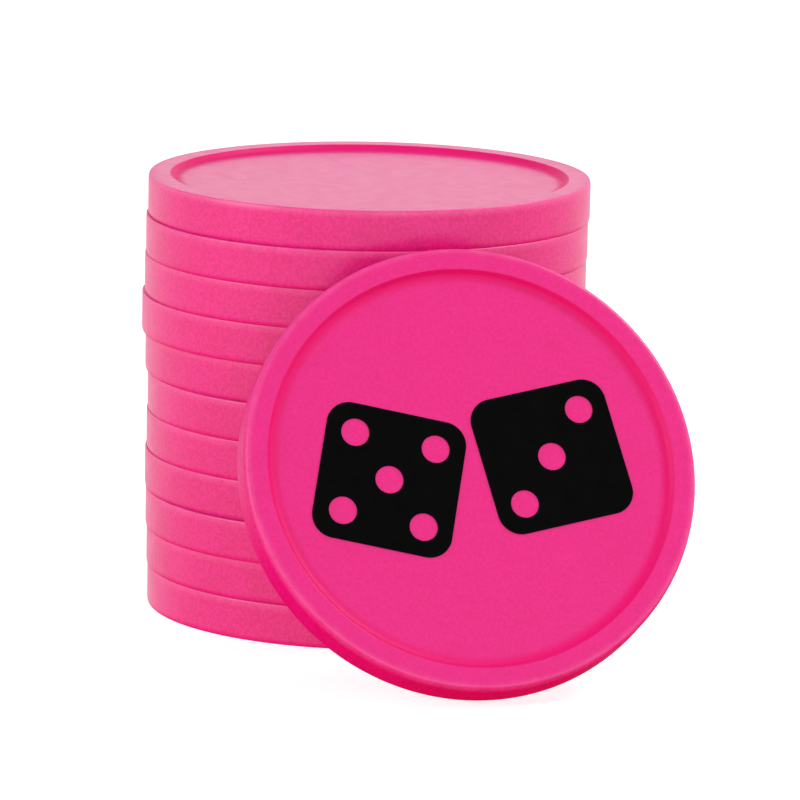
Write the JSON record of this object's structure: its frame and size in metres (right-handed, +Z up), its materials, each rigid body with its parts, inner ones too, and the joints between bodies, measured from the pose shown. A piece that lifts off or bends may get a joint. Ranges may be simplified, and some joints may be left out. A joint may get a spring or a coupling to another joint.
{
  "type": "game token set",
  "caption": "Stack of round moulded plastic game tokens with raised rims and shallow recessed faces, and a loose printed token that leans against the stack.",
  "frame": {"origin": "centre of the bottom token's foot, on the table", "axes": "+Z up the stack, -Y to the front where the leaning token stands, +X to the right seen from the front"},
  "size_m": [0.0356, 0.0452, 0.0286],
  "materials": {
    "token_plastic": "fine satin grain, pink moulded plastic",
    "ink": "flat black printing ink"
  },
  "bodies": {
    "stack_token_01": {"stack_token_01": "token_plastic"},
    "stack_token_02": {"stack_token_02": "token_plastic"},
    "stack_token_03": {"stack_token_03": "token_plastic"},
    "stack_token_04": {"stack_token_04": "token_plastic"},
    "stack_token_05": {"stack_token_05": "token_plastic"},
    "stack_token_06": {"stack_token_06": "token_plastic"},
    "stack_token_07": {"stack_token_07": "token_plastic"},
    "stack_token_08": {"stack_token_08": "token_plastic"},
    "stack_token_09": {"stack_token_09": "token_plastic"},
    "stack_token_10": {"stack_token_10": "token_plastic"},
    "stack_token_11": {"stack_token_11": "token_plastic"},
    "leaning_token": {"leaning_token": "token_plastic", "face_print": "ink"}
  },
  "joints": [
    {"name": "lift_02", "type": "slide", "parent": "stack_token_01", "child": "stack_token_02", "axis": [0, 0, 1], "range_m": [0, 0.012]},
    {"name": "lift_03", "type": "slide", "parent": "stack_token_02", "child": "stack_token_03", "axis": [0, 0, 1], "range_m": [0, 0.012]},
    {"name": "lift_04", "type": "slide", "parent": "stack_token_03", "child": "stack_token_04", "axis": [0, 0, 1], "range_m": [0, 0.012]},
    {"name": "lift_05", "type": "slide", "parent": "stack_token_04", "child": "stack_token_05", "axis": [0, 0, 1], "range_m": [0, 0.012]},
    {"name": "lift_06", "type": "slide", "parent": "stack_token_05", "child": "stack_token_06", "axis": [0, 0, 1], "range_m": [0, 0.012]},
    {"name": "lift_07", "type": "slide", "parent": "stack_token_06", "child": "stack_token_07", "axis": [0, 0, 1], "range_m": [0, 0.012]},
    {"name": "lift_08", "type": "slide", "parent": "stack_token_07", "child": "stack_token_08", "axis": [0, 0, 1], "range_m": [0, 0.012]},
    {"name": "lift_09", "type": "slide", "parent": "stack_token_08", "child": "stack_token_09", "axis": [0, 0, 1], "range_m": [0, 0.012]},
    {"name": "lift_10", "type": "slide", "parent": "stack_token_09", "child": "stack_token_10", "axis": [0, 0, 1], "range_m": [0, 0.012]},
    {"name": "lift_11", "type": "slide", "parent": "stack_token_10", "child": "stack_token_11", "axis": [0, 0, 1], "range_m": [0, 0.012]},
    {"name": "tip_forward", "type": "hinge", "parent": "stack_token_01", "child": "leaning_token", "pos_m": [0.00785, -0.0291, 0.00079], "axis": [0.9744, 0.225, 0], "range_deg": [0, 118.5]}
  ]
}
